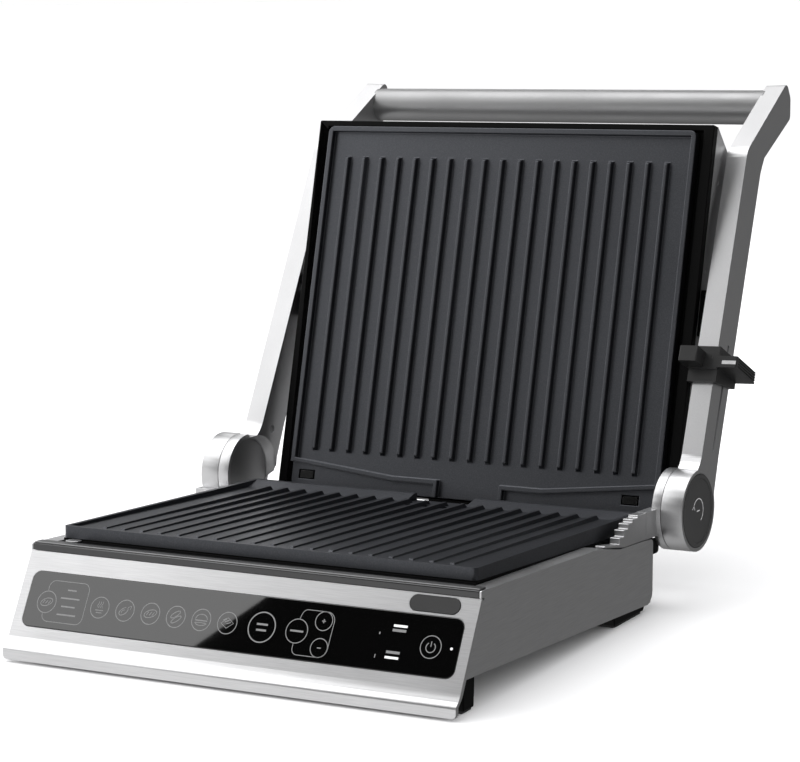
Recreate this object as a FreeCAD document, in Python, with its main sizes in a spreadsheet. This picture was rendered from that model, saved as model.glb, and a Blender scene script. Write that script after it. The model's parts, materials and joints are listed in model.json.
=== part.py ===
import FreeCAD, Part
import math
import os
import re

# Countertop contact grill: a low base with a sloped touch panel and a ribbed plate, and a ribbed
# head hung between two lid arms that turn on drums behind the base. Everything is laid out in the
# base's own frame: X to the right, Y to the back, Z up, with Y = 0 at the fascia's top edge. The
# whole grill then leans back a little on its feet so that fat runs to the rear.

os.makedirs("parts", exist_ok=True)

DIMS = {
    # whole grill
    "lean": 3.6, "table_drop": 9.41, "centre_x": 0.846, "centre_y": -229.07,
    # base
    "side_half": 170, "base_back": 251, "skin": 1.5, "side_bottom": 12, "side_top": 63,
    "slope_start": 166, "slope_end": 197, "side_drop": 57.7, "side_back_top": 56.5,
    "shell_front": -19.4, "flange": 12,
    "pan_half": 168, "pan_wall": 2.4, "pan_low": 12.5, "pan_floor": 15, "pan_top": 44,
    "pan_front": -17, "slot_half": 110, "slot_low": 14, "slot_high": 34,
    # fascia, in its own frame: X, up the slope, outward
    "fascia_top": 58.3, "fascia_angle": 63.435, "fascia_half": 170.2, "fascia_len": 62.4,
    "fascia_thick": 3, "lip_reach": 69.2, "lip_out": 2.3, "lip_end": 75.5,
    "glass_half": 162.5, "glass_low": -51.7, "glass_high": -13.8, "glass_r": 6,
    "glass_sunk": 1.4, "glass_proud": 0.4, "fit_gap": 0.25,
    "badge_left": 121.6, "badge_right": 157, "badge_low": -11.8, "badge_high": -1.4,
    "badge_sunk": 0.7, "badge_proud": 0.5,
    "board_half": 161, "board_low": -40, "board_high": -9, "board_deep": -7.6, "board_face": -6,
    "trim_low": 58.5, "trim_high": 63.2, "trim_front": -0.5, "trim_back": 9, "rim_line": 0.9,
    # plates and their ribs
    "rib_count": 19, "rib_pitch": 14.73, "rib_w": 5.4, "rib_top_w": 2.6, "rib_end": 2.4,
    "plate_half": 156.9, "plate_front": 17.8, "plate_back": 256.6, "plate_rim": 73.1,
    "under_front": 65, "under_back": 61.8, "floor_front": 71.1, "floor_back": 69.2,
    "rim_t": 3.4, "rib_top": 72, "rib_front": 29, "rib_back": 239,
    "spout_left": -19, "spout_right": 30, "drain_front": 225, "drain_back": 232,
    "deck_half": 157, "deck_front": 9.4, "deck_back": 247, "deck_low": 54, "deck_lip": 63.6,
    "deck_bar": 11, "heater_r": 3.2, "heater_z": 58.1, "heater_bend": 18, "reflector_t": 0.8,
    # hinge
    "hinge_y": 283.4, "hinge_z": 73.1, "drum_r": 28.5, "pin_r": 5, "play": 0.05,
    "ring_in": 166.7, "ring_out": 173.2, "drum_in": 173.6, "drum_out": 189.2,
    "disc_in": 190, "disc_out": 205, "left_out": 189.6, "left_in": 181, "cap_r": 25,
    "cap_deep": 2, "bush_r": 8, "washer_r": 10.5, "washer_t": 1.8, "web_x": 179.4,
    # hinge posts and the step rack beside the lower plate
    "post_in": 158.5, "post_out": 165, "post_front": 215, "post_back": 246, "post_top": 57.9,
    "rack_in": 162.3, "rack_out": 170, "step_last": 76.5, "neck_front": 239.2, "neck_back": 262,
    "ledge_front": 236, "ledge_back": 254.5, "ledge_low": 57.9, "ledge_high": 63.5,
    # lid arm, in its own frame: X, backwards, along the arm from the hinge axis
    "arm_lean": 23.7, "arm_inward": 1.75, "arm_front": -7.8, "arm_back": 21.6, "arm_t": 15.2,
    "kink_front": 265.6, "kink_back": 272.5, "groove_v": 10.2, "groove_w": 3, "groove_d": 1.4,
    "groove_low": 46, "groove_high": 124, "screw_v": 7, "screw_s": 37, "screw_r": 3,
    "handle_v": 47.8, "handle_s": 321.7, "handle_r": 12.8, "handle_wall": 2, "handle_half": 165.5,
    "plug_pin_r": 4, "plug_deep": 20,
    # head, in its own frame: X, up along the head, towards the cooking side
    "head_y": 299.2, "head_z": 67, "head_angle": 76.8, "head_half": 164, "head_top": 277.9,
    "head_low": -5, "head_deep": -40, "frame_deep": -6.5, "cover_skin": 1.4,
    "window_half": 156, "window_high": 273.5, "shelf": -4.4, "opening_half": 144,
    "opening_low": 14, "opening_high": 260,
    "upper_half": 152.6, "upper_low": -4, "upper_high": 272.7, "upper_rim": 4.6, "upper_rim_w": 3.9,
    "upper_floor": 0.4, "apron": 0.4, "upper_rib_top": 4.1, "upper_rib_low": 22.8,
    "upper_rib_high": 250.8, "notch_left": -23.3, "notch_right": 24.8, "upper_heater_z": -7.9,
    "upper_reflector_z": -14, "pivot_t": 147.975, "pivot_w": -13.374, "pivot_v": 3.1, "pivot_s": 148.7,
    "pivot_r": 4, "pivot_in": 157.5, "pivot_out": 176, "block_out": 167.9,
    # height clip, in the arm's frame
    "clip_low": 90.5, "clip_high": 116.5, "clip_gap": 0.4, "clip_wall": 2.8,
    "slab_low": 101, "slab_high": 109.3, "wing_out": 17.2, "wing_back": 26,
    "tab_left": -21.2, "tab_right": -7.6, "tab_front": -25.5, "tab_high": 112,
    # release button in the right drum
    "button_r": 25.6, "button_gap": 0.35, "button_in": 184.7, "button_out": 189.7,
    # drip tray
    "tray_half": 100, "tray_front": 96, "tray_back": 249, "tray_low": 16.5, "tray_high": 32,
    "tray_t": 1.6, "pull_half": 108.5, "pull_back": 252.8,
}

doc = FreeCAD.newDocument("contact_grill")
dims = doc.addObject("Spreadsheet::Sheet", "dims")
for row, (alias, number) in enumerate(DIMS.items(), 1):
    dims.set("A%d" % row, alias)
    dims.set("B%d" % row, str(number))
    dims.setAlias("B%d" % row, alias)
doc.recompute()

AXES = {
    "x": FreeCAD.Rotation(FreeCAD.Vector(0, 1, 0), 90),
    "y": FreeCAD.Rotation(FreeCAD.Vector(1, 0, 0), -90),
    "z": FreeCAD.Rotation(),
}
PLANES = {"yz": "YZ_Plane", "xy": "XY_Plane"}
finished = []


def size(text):
    """An expression on the spreadsheet, from one written with bare aliases."""
    return re.sub(r"[a-z][a-z_]*", lambda m: "dims." + m[0] if m[0] in DIMS else m[0], str(text))


def num(text):
    return float(dims.evalExpression(size(text)))


def bind(thing, **cells):
    for field, text in cells.items():
        thing.setExpression(field.replace("__", "."), size(text))


def box(name, x, y, z):
    """A block between two X, two Y and two Z values."""
    thing = doc.addObject("Part::Box", name)
    bind(thing, Length="(%s) - (%s)" % (x[1], x[0]), Width="(%s) - (%s)" % (y[1], y[0]),
         Height="(%s) - (%s)" % (z[1], z[0]), Placement__Base__x=x[0], Placement__Base__y=y[0],
         Placement__Base__z=z[0])
    return thing


def rod(name, axis, centre, radius, start, end):
    """A cylinder along an axis; centre gives the two other coordinates in X, Y, Z order."""
    thing = doc.addObject("Part::Cylinder", name)
    thing.Placement = FreeCAD.Placement(FreeCAD.Vector(), AXES[axis])
    places = dict(zip([a for a in "xyz" if a != axis], centre))
    places[axis] = start
    bind(thing, Radius=radius, Height="(%s) - (%s)" % (end, start))
    bind(thing, **{"Placement__Base__" + a: text for a, text in places.items()})
    return thing


def outline(body, plane, points, height=0):
    """A closed sketch on one of the body's planes, each corner held by two bound constraints."""
    import Sketcher

    sketch = body.newObject("Sketcher::SketchObject", body.Name + "_outline")
    support = [f for f in body.Origin.OriginFeatures if f.Role == PLANES[plane]][0]
    sketch.AttachmentSupport = [(support, "")]
    sketch.MapMode = "FlatFace"
    sketch.setExpression("AttachmentOffset.Base.z", size(height))
    flat = [FreeCAD.Vector(num(a), num(b), 0) for a, b in points]
    for here, there in zip(flat, flat[1:] + flat[:1]):
        sketch.addGeometry(Part.LineSegment(here, there), False)
    count = len(flat)
    for i in range(count):
        sketch.addConstraint(Sketcher.Constraint("Coincident", i, 2, (i + 1) % count, 1))
    for i, corner in enumerate(points):
        for kind, value, text in zip(("DistanceX", "DistanceY"), flat[i], corner):
            index = sketch.addConstraint(Sketcher.Constraint(kind, -1, 1, i, 1, value))
            sketch.setExpression("Constraints[%d]" % index, size(text))
    return sketch


def pad(name, plane, points, start, end):
    """A body padded from an outline between two heights over its plane."""
    body = doc.addObject("PartDesign::Body", name)
    sketch = outline(body, plane, points, start)
    feature = body.newObject("PartDesign::Pad", name + "_pad")
    feature.Profile = sketch
    bind(feature, Length="(%s) - (%s)" % (end, start))
    body.Tip = feature
    doc.recompute()
    return body


def slab(name, x, y, z, radius):
    """A block with rounded upright edges."""
    return soften(name, box(name + "_block", x, y, z), (radius, upright))


def cut(name, base, *tools):
    thing = doc.addObject("Part::Cut", name)
    thing.Base = base
    thing.Tool = tools[0] if len(tools) == 1 else group(name + "_tools", *tools)
    return thing


def fuse(name, *parts):
    thing = doc.addObject("Part::MultiFuse", name)
    thing.Shapes = list(parts)
    thing.Refine = True
    return thing


def group(name, *parts):
    thing = doc.addObject("Part::Compound", name)
    thing.Links = list(parts)
    return thing


def upright(edge):
    ends = [v.Point for v in edge.Vertexes]
    return len(ends) == 2 and (ends[0] - ends[1]).x ** 2 + (ends[0] - ends[1]).y ** 2 < 1e-8


def crosswise(edge):
    ends = [v.Point for v in edge.Vertexes]
    return len(ends) == 2 and (ends[0] - ends[1]).y ** 2 + (ends[0] - ends[1]).z ** 2 < 1e-8


def soften(name, source, *rules):
    """Round the edges of a solid; each rule is a radius and a test that picks edges."""
    doc.recompute()
    thing = doc.addObject("Part::Fillet", name)
    thing.Base = source
    edges = source.Shape.Edges
    picked = [(i, num(radius)) for radius, test in rules for i, e in enumerate(edges, 1) if test(e)]
    thing.Edges = [(i, radius, radius) for i, radius in picked]
    return thing


def cone(name, near_r, far_r, start, end):
    """A cone along X on the hinge axis, from one radius to the other."""
    thing = doc.addObject("Part::Cone", name)
    thing.Placement = FreeCAD.Placement(FreeCAD.Vector(), AXES["x"])
    bind(thing, Radius1=near_r, Radius2=far_r, Height="(%s) - (%s)" % (end, start),
         Placement__Base__x=start)
    return thing


def near(y, z, slack=0.6):
    """A test for edges across the grill at a given Y and Z."""
    target = (num(y), num(z))

    def test(edge):
        point = edge.Vertexes[0].Point
        return crosswise(edge) and math.hypot(point.y - target[0], point.z - target[1]) < slack

    return test


def moved(name, part, frame):
    thing = group(name, part)
    thing.Placement = frame
    return thing


def mirrored(name, part):
    """The part and its mirror image across the middle of the grill."""
    twin = doc.addObject("Part::Mirroring", name + "_twin")
    twin.Source = part
    twin.Normal = FreeCAD.Vector(1, 0, 0)
    return [part, twin]


def tube(name, route, radius, bend):
    """A bent tube through the route's corners, each corner an arc of the bend radius."""
    points = [FreeCAD.Vector(*[num(v) for v in p]) for p in route]
    turn = num(bend)
    edges = []
    here = points[0]
    for before, corner, after in zip(points, points[1:], points[2:]):
        inward = (before - corner).normalize()
        outward = (after - corner).normalize()
        half = inward.getAngle(outward) / 2
        reach = turn / math.tan(half)
        start = corner + inward * reach
        end = corner + outward * reach
        middle = (inward + outward).normalize()
        crown = corner + middle * (turn / math.sin(half) - turn)
        edges.append(Part.LineSegment(here, start).toShape())
        edges.append(Part.Arc(start, crown, end).toShape())
        here = end
    edges.append(Part.LineSegment(here, points[-1]).toShape())
    first = (points[1] - points[0]).normalize()
    section = Part.Wire([Part.Circle(points[0], first, num(radius)).toShape()])
    thing = doc.addObject("Part::Feature", name)
    thing.Shape = Part.Wire(edges).makePipeShell([section], True, False)
    return thing


def finish(label, frame, *parts):
    """Gather the solids of one piece under its name and stand it in its frame."""
    thing = group(label, *parts)
    thing.Placement = frame
    finished.append(thing)
    return thing


def turned(x, y, z, axis, angle):
    return FreeCAD.Placement(FreeCAD.Vector(x, y, z), FreeCAD.Rotation(FreeCAD.Vector(*axis), angle))


# The grill leans back about the front of its feet; the origin is the bottom centre of its box
BASE = turned(num("centre_x"), num("centre_y"), 0, (1, 0, 0), -num("lean"))
BASE = BASE.multiply(turned(0, 0, num("table_drop"), (1, 0, 0), 0))
FASCIA = BASE.multiply(turned(0, 0, num("fascia_top"), (1, 0, 0), num("fascia_angle")))
HEAD = BASE.multiply(turned(0, num("head_y"), num("head_z"), (1, 0, 0), num("head_angle")))
HINGE = BASE.multiply(turned(0, num("hinge_y"), num("hinge_z"), (1, 0, 0), -num("arm_lean")))


def blade_frame(side):
    """Where one arm's blade stands on the hinge, leaning inwards by a little."""
    return turned(side * num("drum_out"), 0, 0, (0, 1, 0), -side * num("arm_inward"))


def ground(y, above=0):
    """Height of the table at some Y, in the base's frame."""
    return "(%s) * tan(lean * 1 deg) - table_drop + %s" % (y, above)


# ---- base pan: a flat floor, its side walls, the tray's rails and guides, and screw bosses
floor = box("pan_floor_sheet", ("-pan_half", "pan_half"), ("pan_front", "base_back - skin - 0.3"),
            ("pan_low", "pan_floor"))
holes = []
for at, (x, y) in enumerate((("150", "22"), ("161.7", "230"))):
    hole = rod("pan_hole_%d" % at, "z", (x, y), "1.7", "pan_low - 1", "22")
    holes.extend(mirrored("pan_holes_%d" % at, hole))
vents = [box("pan_vent_%d" % i, ("-60 + 12 * %d" % i, "-56 + 12 * %d" % i), ("30", "70"),
             ("pan_low - 1", "pan_floor + 1")) for i in range(11)]
finish("base_pan", BASE, cut("pan_cut", floor, *holes, *vents))
wall = box("pan_wall_right", ("pan_half - pan_wall", "pan_half"), ("1", "base_back - skin - 0.3"),
           ("pan_floor", "pan_top"))
finish("pan_walls", BASE, *mirrored("walls", wall))
rail = box("pan_rail", ("tray_half - 8", "tray_half - 3"), ("tray_front", "base_back - 4"),
           ("pan_floor", "tray_low - 0.2"))
guide = box("pan_guide", ("tray_half + 1", "tray_half + 4"), ("tray_front", "base_back - 4"),
            ("pan_floor", "24"))
finish("tray_rails", BASE, *mirrored("rails", rail), *mirrored("guides", guide))
boss = cut("pan_boss_cut", rod("pan_boss", "z", ("150", "22"), "4.5", "pan_floor", "24"),
           rod("pan_boss_bore", "z", ("150", "22"), "1.7", "pan_floor - 1", "22"))
finish("screw_bosses", BASE, *mirrored("bosses", boss))

# ---- folded steel sides with a narrow top flange, and the steel back between them
outer = pad("shell_outer", "yz", [
    ("shell_front", "side_bottom"), ("3.8", "trim_low - 0.1"), ("trim_front + 0.1", "trim_low - 0.1"),
    ("trim_front + 0.1", "side_top"), ("slope_start", "side_top"), ("slope_end", "side_drop"),
    ("237", "side_drop - 0.4"), ("base_back", "side_back_top"), ("base_back", "side_bottom")],
    "-side_half", "side_half")
outer = soften("shell_soft", outer, ("9", near("base_back", "side_bottom")),
               ("3", near("base_back", "side_back_top")), ("12", near("slope_start", "side_top")),
               ("12", near("slope_end", "side_drop")), ("1.2", near("trim_front + 0.1", "side_top")))
inner = pad("shell_inner", "yz", [
    ("-60", "-5"), ("-60", "side_top - skin"), ("slope_start - 0.13", "side_top - skin"),
    ("slope_end - 0.13", "side_drop - skin"), ("237", "side_drop - 0.4 - skin"),
    ("260", "side_back_top - 0.5 - skin"), ("260", "-5")],
    "skin - side_half", "side_half - skin")
shell = cut(
    "side_shell_cut", outer, inner,
    box("shell_top", ("flange - side_half", "side_half - flange"), ("-1", "260"), ("40", "80")),
    box("shell_trim", ("skin - side_half", "side_half - skin"), ("-2", "trim_back + 0.2"),
        ("50", "80")),
    box("shell_post_right", ("150", "post_out + 0.4"), ("post_front - 0.5", "post_back + 0.5"),
        ("45", "70")),
    box("shell_post_left", ("-post_out - 0.4", "-150"), ("post_front - 0.5", "post_back + 0.5"),
        ("45", "70")),
)
finish("side_shell", BASE, shell)
back = cut(
    "back_cut",
    box("back_sheet", ("skin - side_half", "side_half - skin"), ("base_back - skin", "base_back"),
        ("side_bottom", "side_back_top - skin - 0.1")),
    box("back_slot", ("-slot_half", "slot_half"), ("240", "260"), ("slot_low", "slot_high")),
    rod("back_gland_hole", "y", ("-140", "30"), "5.1", "240", "base_back + 2"),
)
finish("back_panel", BASE, back)

# ---- sloped fascia with its flared lip, the glass and what sits behind it
def lip_corner(edge):
    """The two short edges at the ends of the lip's lowest edge."""
    ends = [v.Point for v in edge.Vertexes]
    return all(p.y < num("0.5 - lip_end + 1.4") for p in ends) and abs(ends[0].x - ends[1].x) < 1e-6


fascia = pad("fascia_sheet", "yz", [
    ("0", "0"), ("-fascia_len", "0"), ("-lip_reach", "lip_out"), ("-lip_end", "-0.8"),
    ("-lip_end + 1.4", "-3.7"), ("1.1 - lip_reach", "-0.8"), ("0.7 - fascia_len", "-fascia_thick"),
    ("0", "-fascia_thick")], "-fascia_half", "fascia_half")
fascia = soften("fascia_soft", fascia, ("18", near("-fascia_len", "0")),
                ("14", near("0.7 - fascia_len", "-fascia_thick")), ("3", near("-lip_reach", "lip_out")))
fascia = soften("fascia_corners", fascia, ("3", lip_corner))
glass_seat = slab("glass_seat", ("-glass_half - fit_gap", "glass_half + fit_gap"),
                  ("glass_low - fit_gap", "glass_high + fit_gap"), ("-glass_sunk", "5"),
                  "glass_r + fit_gap")
badge_seat = slab("badge_seat", ("badge_left - 0.1", "badge_right + 0.1"),
                  ("badge_low - 0.1", "badge_high + 0.1"), ("-badge_sunk", "5"),
                  "(badge_high - badge_low) / 2 + 0.09")
fascia = cut(
    "fascia_cut", fascia, glass_seat, badge_seat,
    box("display_window", ("99.7", "124.3"), ("-47.3", "-18.7"), ("-5", "1")),
    rod("led_hole", "z", ("157.6", "-33"), "1.7", "-5", "1"),
)
finish("fascia", FASCIA, fascia)
finish("touch_glass", FASCIA, slab("glass_slab", ("-glass_half", "glass_half"),
                                   ("glass_low", "glass_high"), ("-glass_sunk", "glass_proud"),
                                   "glass_r"))
finish("badge_plate", FASCIA, slab("badge_slab", ("badge_left", "badge_right"),
                                   ("badge_low", "badge_high"), ("-badge_sunk", "badge_proud"),
                                   "(badge_high - badge_low) / 2 - 0.01"))
finish("display_module", FASCIA, box("display_block", ("100", "124"), ("-39", "-19"),
                                     ("board_face", "-glass_sunk - 0.1")))
finish("status_led", FASCIA, rod("led_lens", "z", ("157.6", "-33"), "1.4", "board_face",
                                 "-glass_sunk - 0.1"))
board = box("board_sheet", ("-board_half", "board_half"), ("board_low", "board_high"),
            ("board_deep", "board_face"))
standoffs = []
for at, (x, y) in enumerate((("140", "-12"), ("140", "-37"), ("50", "-24"))):
    post = rod("board_post_%d" % at, "z", (x, y), "2.5", "board_face - 0.5", "-fascia_thick")
    standoffs.extend(mirrored("board_posts_%d" % at, post))
chip = box("board_chip", ("-20", "-2"), ("-30", "-14"), ("board_deep - 2.2", "board_deep + 0.3"))
finish("control_board", FASCIA, fuse("board_joined", board, chip, *standoffs))
power = fuse(
    "power_joined",
    box("power_sheet", ("-143.5", "-70"), ("12", "84"), ("19", "20.6")),
    box("power_transformer", ("-140", "-112"), ("44", "72"), ("20", "38")),
    box("power_relay", ("-100", "-82"), ("52", "70"), ("20", "34")),
    rod("power_capacitor", "z", ("-92", "32"), "6", "20", "36"),
    *[rod("power_post_%d" % i, "z", (x, y), "3", "pan_floor", "19.5")
      for i, (x, y) in enumerate((("-139.5", "32"), ("-139.5", "80"), ("-74", "16"), ("-74", "80")))],
)
finish("power_board", BASE, power)
trim = box("trim_bar", ("skin - side_half + 0.1", "side_half - skin - 0.1"), ("trim_front", "trim_back"),
           ("trim_low", "trim_high"))
finish("top_trim", BASE, soften("trim_soft", trim, ("1.2", near("trim_front", "trim_high"))))
finish("trim_rim", BASE, box("rim_bar", ("skin - side_half + 0.3", "side_half - skin - 0.3"),
                             ("0.9", "trim_back"), ("trim_high", "trim_high + rim_line")))

# ---- deck under the lower plate
deck = pad("deck_shape", "yz", [
    ("deck_front", "deck_low"), ("deck_back", "deck_low"), ("deck_back", "under_back + 0.06"),
    ("plate_front + 0.2", "under_front - 0.05"), ("plate_front + 0.2", "deck_lip"),
    ("deck_front", "deck_lip")], "-deck_half", "deck_half")
opening = box("deck_opening", ("deck_bar - deck_half", "deck_half - deck_bar"),
              ("deck_front + deck_bar", "deck_back - deck_bar"), ("50", "80"))
finish("plate_deck", BASE, cut("deck_ring", deck, opening))


def ribs(name, top, bottom, low, high, aside="0"):
    """Tapered ribs side by side across a plate, running along it; aside moves them all along X."""
    made = []
    for i in range(int(num("rib_count"))):
        rib = doc.addObject("Part::Wedge", "%s_%02d" % (name, i))
        rib.Placement = FreeCAD.Placement(FreeCAD.Vector(), FreeCAD.Rotation(FreeCAD.Vector(1, 0, 0), 90))
        bind(rib, Xmin="-rib_w / 2", Xmax="rib_w / 2", X2min="-rib_top_w / 2", X2max="rib_top_w / 2",
             Ymin="0", Ymax="(%s) - (%s)" % (top, bottom), Zmin="0", Zmax="(%s) - (%s)" % (high, low),
             Z2min="rib_end", Z2max="(%s) - (%s) - rib_end" % (high, low),
             Placement__Base__x="rib_pitch * (%d - (rib_count - 1) / 2) + %s" % (i, aside),
             Placement__Base__y=high, Placement__Base__z=bottom)
        made.append(rib)
    return made


# ---- lower plate: sloped floor, open front edge, spout gap in the back rim
plate = pad("lower_block", "yz", [
    ("plate_front", "under_front"), ("plate_back - 2", "under_back"), ("plate_back", "under_back + 2"),
    ("plate_back", "plate_rim"), ("plate_front", "plate_rim")], "-plate_half", "plate_half")
plate = soften("lower_soft", plate, ("3", upright))
dish = pad("lower_dish", "yz", [
    ("plate_front + 3", "plate_rim + 0.3"), ("plate_front + 6", "floor_front"),
    ("plate_back - 17", "floor_back"), ("plate_back - 3.2", "plate_rim + 0.3"),
    ("plate_back - 3.2", "90"), ("plate_front + 3", "90")],
    "rim_t - plate_half", "plate_half - rim_t")
spout = pad("lower_spout", "yz", [
    ("plate_back - 24", "floor_back + 0.1"), ("plate_back + 3", "floor_back - 1.5"),
    ("plate_back + 3", "90"), ("plate_back - 24", "90")], "spout_left", "spout_right")
drain = box("lower_drain", ("-12", "22"), ("drain_front", "drain_back"), ("55", "80"))
plate = cut("lower_cut", plate, dish, spout, drain)
finish("lower_plate", BASE, fuse("lower_joined", plate,
                                 *ribs("lower_rib", "rib_top", "floor_back - 1.2", "rib_front", "rib_back")))
finish("lower_heater", BASE, tube("lower_loop", [
    (-12, 208, "heater_z"), (-112, 208, "heater_z"), (-112, 48, "heater_z"), (112, 48, "heater_z"),
    (112, 208, "heater_z"), (12, 208, "heater_z")], "heater_r", "heater_bend"))
finish("lower_reflector", BASE, box("reflector_sheet", ("-150", "150"), ("12", "218"),
                                    ("deck_low - reflector_t", "deck_low")))
finish("lower_sensor", BASE, rod("lower_probe", "z", ("0", "120"), "3.5", "deck_low", "63.2"))
latch_y = ("trim_back + 0.6", "plate_front - 0.2")
finish("lower_latch", BASE, slab("latch_lever", ("-150.7", "-140"), latch_y, ("deck_lip", "64.7"), "3"))

# ---- what the hinge pins stand on; the right side carries the step rack, the left an outboard disc
ring = fuse(
    "boss_right_joined",
    rod("ring_right", "x", ("hinge_y", "hinge_z"), "drum_r", "ring_in", "ring_out"),
    box("neck_right", ("rack_in", "rack_out"), ("neck_front", "neck_back"), ("post_top", "step_last")),
    box("post_right", ("post_in", "post_out"), ("post_front", "post_back"), ("pan_floor", "post_top")),
)
washer_x = "ring_out - washer_t + 0.1"
ring = cut(
    "boss_right_cut", ring,
    rod("ring_bore", "x", ("hinge_y", "hinge_z"), "pin_r + 0.02", "150", "180"),
    rod("ring_seat", "x", ("hinge_y", "hinge_z"), "washer_r + 0.2", washer_x, "180"),
    rod("post_bore_right", "z", ("161.7", "230"), "1.7", "pan_floor - 1", "22"),
)
finish("hinge_boss_right", BASE, ring)
disc = fuse(
    "boss_left_joined",
    rod("disc_left", "x", ("hinge_y", "hinge_z"), "drum_r", "-disc_out", "-disc_in"),
    box("web_left", ("-disc_out", "-disc_in"), ("ledge_front + 11", "hinge_y - 14"),
        ("ledge_low", "ledge_high")),
    box("ledge_left", ("-disc_in - 4", "-post_in"), ("ledge_front + 5", "ledge_back"),
        ("ledge_low", "ledge_high")),
    box("post_left", ("-post_out", "-post_in"), ("post_front", "post_back"),
        ("pan_floor", "ledge_low + 0.5")),
)
disc = cut(
    "boss_left_cut", disc,
    rod("disc_bore", "x", ("hinge_y", "hinge_z"), "pin_r + 0.02", "-disc_out + 5", "-180"),
    rod("disc_seat", "x", ("hinge_y", "hinge_z"), "washer_r + 0.2", "-disc_in - washer_t + 0.1",
        "-180"),
    rod("post_bore_left", "z", ("-161.7", "230"), "1.7", "pan_floor - 1", "22"),
)
finish("hinge_boss_left", BASE, disc)
finish("hinge_pin_right", BASE, rod("pin_right", "x", ("hinge_y", "hinge_z"), "pin_r",
                                    "ring_in + 0.1", "web_x - 0.4"))
finish("hinge_pin_left", BASE, rod("pin_left", "x", ("hinge_y", "hinge_z"), "pin_r",
                                   "-disc_out + 5.1", "-left_in - cap_deep - 0.6"))
washers = []
for at, start in enumerate((washer_x, "-disc_in - washer_t + 0.1")):
    washers.append(cut(
        "washer_%d" % at,
        rod("washer_disc_%d" % at, "x", ("hinge_y", "hinge_z"), "washer_r", start,
            start + " + washer_t"),
        rod("washer_bore_%d" % at, "x", ("hinge_y", "hinge_z"), "pin_r + 0.1", "-300", "300"),
    ))
finish("friction_washers", BASE, *washers)
steps = [("174", "62.2"), ("174", "63.4"), ("197", "61"), ("197", "65.3"), ("204", "65.3"),
         ("204", "69.6"), ("210.5", "69.6"), ("210.5", "73"), ("217.5", "73"), ("217.5", "75"),
         ("226", "75"), ("226", "step_last"), ("neck_front", "step_last"), ("neck_front", "post_top"),
         ("205", "post_top"), ("199", "58.6")]
finish("step_rack", BASE, pad("rack_shape", "yz", steps, "rack_in", "rack_out"))
housing = box("housing_block", ("-165", "165"), ("base_back", "272"), ("43.5", "54"))
finish("rear_housing", BASE, soften("housing_soft", housing, ("3", near("272", "54")),
                                    ("3", near("272", "43.5"))))

# ---- feet, screws and the cord's gland
leg = pad("leg_front", "yz", [("-17", "pan_low"), ("-2", "pan_low"), ("-3", ground(-3, 1.6)),
                              ("-16.5", ground(-16.5, 1.6))], "150", "166.5")
finish("front_legs", BASE, *mirrored("legs_front", leg))
foot = pad("foot_rear", "yz", [("196", "pan_low"), ("246", "pan_low"), ("244", ground(244, 1.6)),
                               ("198", ground(198, 1.6))], "150", "166.5")
finish("rear_feet", BASE, *mirrored("feet_rear", foot))
pads = []
for at, (front, back) in enumerate((("-15.5", "-4"), ("200", "242"))):
    rubber = pad("rubber_%d" % at, "yz", [(front, ground(front, 1.6)), (back, ground(back, 1.6)),
                                         (back, ground(back)), (front, ground(front))],
                 "151.5", "165")
    pads.extend(mirrored("rubbers_%d" % at, rubber))
finish("rubber_pads", BASE, *pads)
screw = fuse("base_screw", rod("screw_head", "z", ("150", "22"), "3.2", "pan_low - 1.6", "pan_low"),
             rod("screw_shank", "z", ("150", "22"), "1.6", "pan_low - 1", "21"))
finish("base_screws", BASE, *mirrored("screws", screw))
finish("post_studs", BASE, *mirrored("studs", rod("post_stud", "z", ("161.7", "230"), "1.6", "pan_low",
                                                  "21")))
gland = cut(
    "gland_cut",
    fuse("gland_joined", rod("gland_nut", "y", ("-140", "30"), "8", "base_back", "258"),
         rod("gland_neck", "y", ("-140", "30"), "5", "243", "252")),
    rod("gland_bore", "y", ("-140", "30"), "3.1", "240", "260"),
)
finish("cord_gland", BASE, gland)

# ---- drip tray, drawn out to the back
tray = cut(
    "tray_cut",
    box("tray_block", ("-tray_half", "tray_half"), ("tray_front", "tray_back"),
        ("tray_low", "tray_high")),
    box("tray_inside", ("tray_t - tray_half", "tray_half - tray_t"),
        ("tray_front + tray_t", "tray_back - tray_t"), ("tray_low + tray_t", "tray_high + 1")),
)
finish("drip_tray", BASE, tray)
face = box("pull_face", ("-pull_half", "pull_half"), ("tray_back", "pull_back"), ("15", "33.2"))
grip = box("pull_grip", ("-45", "45"), ("pull_back - 0.5", "260"), ("26", "30"))
finish("tray_pull", BASE, fuse("pull_joined", face, soften("pull_soft", grip, ("3", upright))))

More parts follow.
